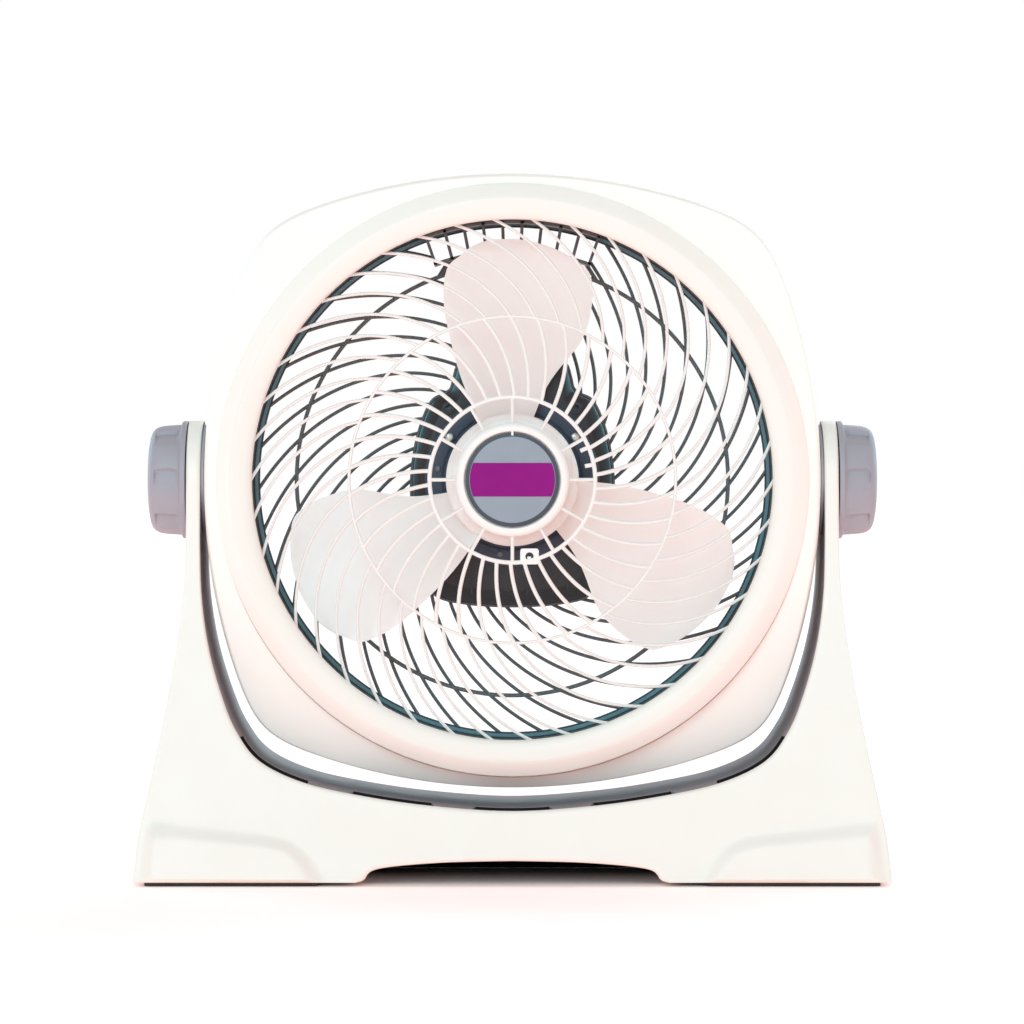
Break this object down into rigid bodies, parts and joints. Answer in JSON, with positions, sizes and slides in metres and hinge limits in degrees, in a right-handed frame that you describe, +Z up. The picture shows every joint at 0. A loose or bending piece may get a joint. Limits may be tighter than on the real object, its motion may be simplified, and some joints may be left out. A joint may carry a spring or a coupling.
{
  "type": "box fan",
  "caption": "Box fan with a tilting square-round head, swirl grille and three blades, on a U-shaped floor base with side knobs.",
  "frame": {"origin": "centre of the bounding box at floor level, under the middle of the base", "axes": "+Z up, the fan blows towards -Y, +X to the right seen from the front along the head's tilt axis"},
  "size_m": [0.618, 0.212, 0.5837],
  "materials": {
    "white_plastic": "satin moulded",
    "blade_plastic": "satin moulded, faintly pink",
    "grey_plastic": "fine matt texture",
    "charcoal_plastic": "satin moulded",
    "black_plastic": "satin moulded",
    "navy_paint": "painted pressed steel",
    "rubber": "matt",
    "steel": "zinc plated",
    "laminations": "stacked electrical steel",
    "copper": "enamelled copper wire",
    "bronze": "sintered bronze",
    "badge": "printed film with a dark rim, a silver field and a magenta band, no lettering"
  },
  "bodies": {
    "base": {"base_front_shell": "white_plastic", "base_rear_shell": "white_plastic", "base_liner": "grey_plastic", "base_screw_1": "steel", "base_screw_2": "steel", "base_screw_3": "steel", "base_screw_4": "steel", "foot_pad_front_left": "rubber", "foot_pad_front_right": "rubber", "foot_pad_rear_left": "rubber", "foot_pad_rear_right": "rubber"},
    "head": {"front_housing": "white_plastic", "rear_housing": "white_plastic", "front_grille": "white_plastic", "hub_badge": "badge", "rear_grille": "charcoal_plastic", "motor_housing": "black_plastic", "motor_front_plate": "navy_paint", "motor_screw_1": "steel", "motor_screw_2": "steel", "motor_screw_3": "steel", "motor_screw_4": "steel", "stator_core": "laminations", "winding_front": "copper", "winding_rear": "copper", "motor_rear_bell": "steel", "bushing_front": "bronze", "bushing_rear": "bronze", "rear_cover": "charcoal_plastic", "cover_screw_1": "steel", "cover_screw_2": "steel", "cover_screw_3": "steel", "cover_screw_4": "steel", "speed_switch": "black_plastic", "capacitor": "grey_plastic", "cord_gland": "black_plastic", "pivot_disc_left": "grey_plastic", "pivot_disc_right": "grey_plastic", "pivot_nut_left": "steel", "pivot_nut_right": "steel", "pivot_stud_left": "steel", "pivot_stud_right": "steel"},
    "rotor": {"fan_blade": "blade_plastic", "spinner_nut": "blade_plastic", "motor_shaft": "steel", "rotor_core": "laminations", "drive_pin": "steel"},
    "washer_left": {"knob_washer_left": "steel"},
    "washer_right": {"knob_washer_right": "steel"},
    "clamp_knob_left": {"knob_left": "grey_plastic"},
    "clamp_knob_right": {"knob_right": "grey_plastic"},
    "speed_control": {"speed_knob": "grey_plastic"}
  },
  "joints": [
    {"name": "head_tilt", "type": "hinge", "parent": "base", "child": "head", "pos_m": [0, -0.004, 0.331], "axis": [1, 0, 0], "range_deg": [-90, 90]},
    {"name": "fan_spin", "type": "hinge", "parent": "head", "child": "rotor", "pos_m": [0, -0.004, 0.331], "axis": [0, 1, 0], "continuous": true},
    {"name": "washer_left_slide", "type": "slide", "parent": "head", "child": "washer_left", "axis": [-1, 0, 0], "range_m": [0, 0.00125]},
    {"name": "washer_right_slide", "type": "slide", "parent": "head", "child": "washer_right", "axis": [1, 0, 0], "range_m": [0, 0.00125]},
    {"name": "knob_left_turn", "type": "hinge", "parent": "washer_left", "child": "clamp_knob_left", "pos_m": [-0.29, -0.004, 0.331], "axis": [-1, 0, 0], "range_deg": [0, 360]},
    {"name": "knob_right_turn", "type": "hinge", "parent": "washer_right", "child": "clamp_knob_right", "pos_m": [0.29, -0.004, 0.331], "axis": [1, 0, 0], "range_deg": [0, 360]},
    {"name": "speed_knob_turn", "type": "hinge", "parent": "head", "child": "speed_control", "pos_m": [0, 0.1, 0.306], "axis": [0, -1, 0], "range_deg": [0, 135]}
  ],
  "couplings": [
    {"joint": "washer_left_slide", "follows": "knob_left_turn", "m_per_rad": 0.00019894},
    {"joint": "washer_right_slide", "follows": "knob_right_turn", "m_per_rad": 0.00019894}
  ]
}
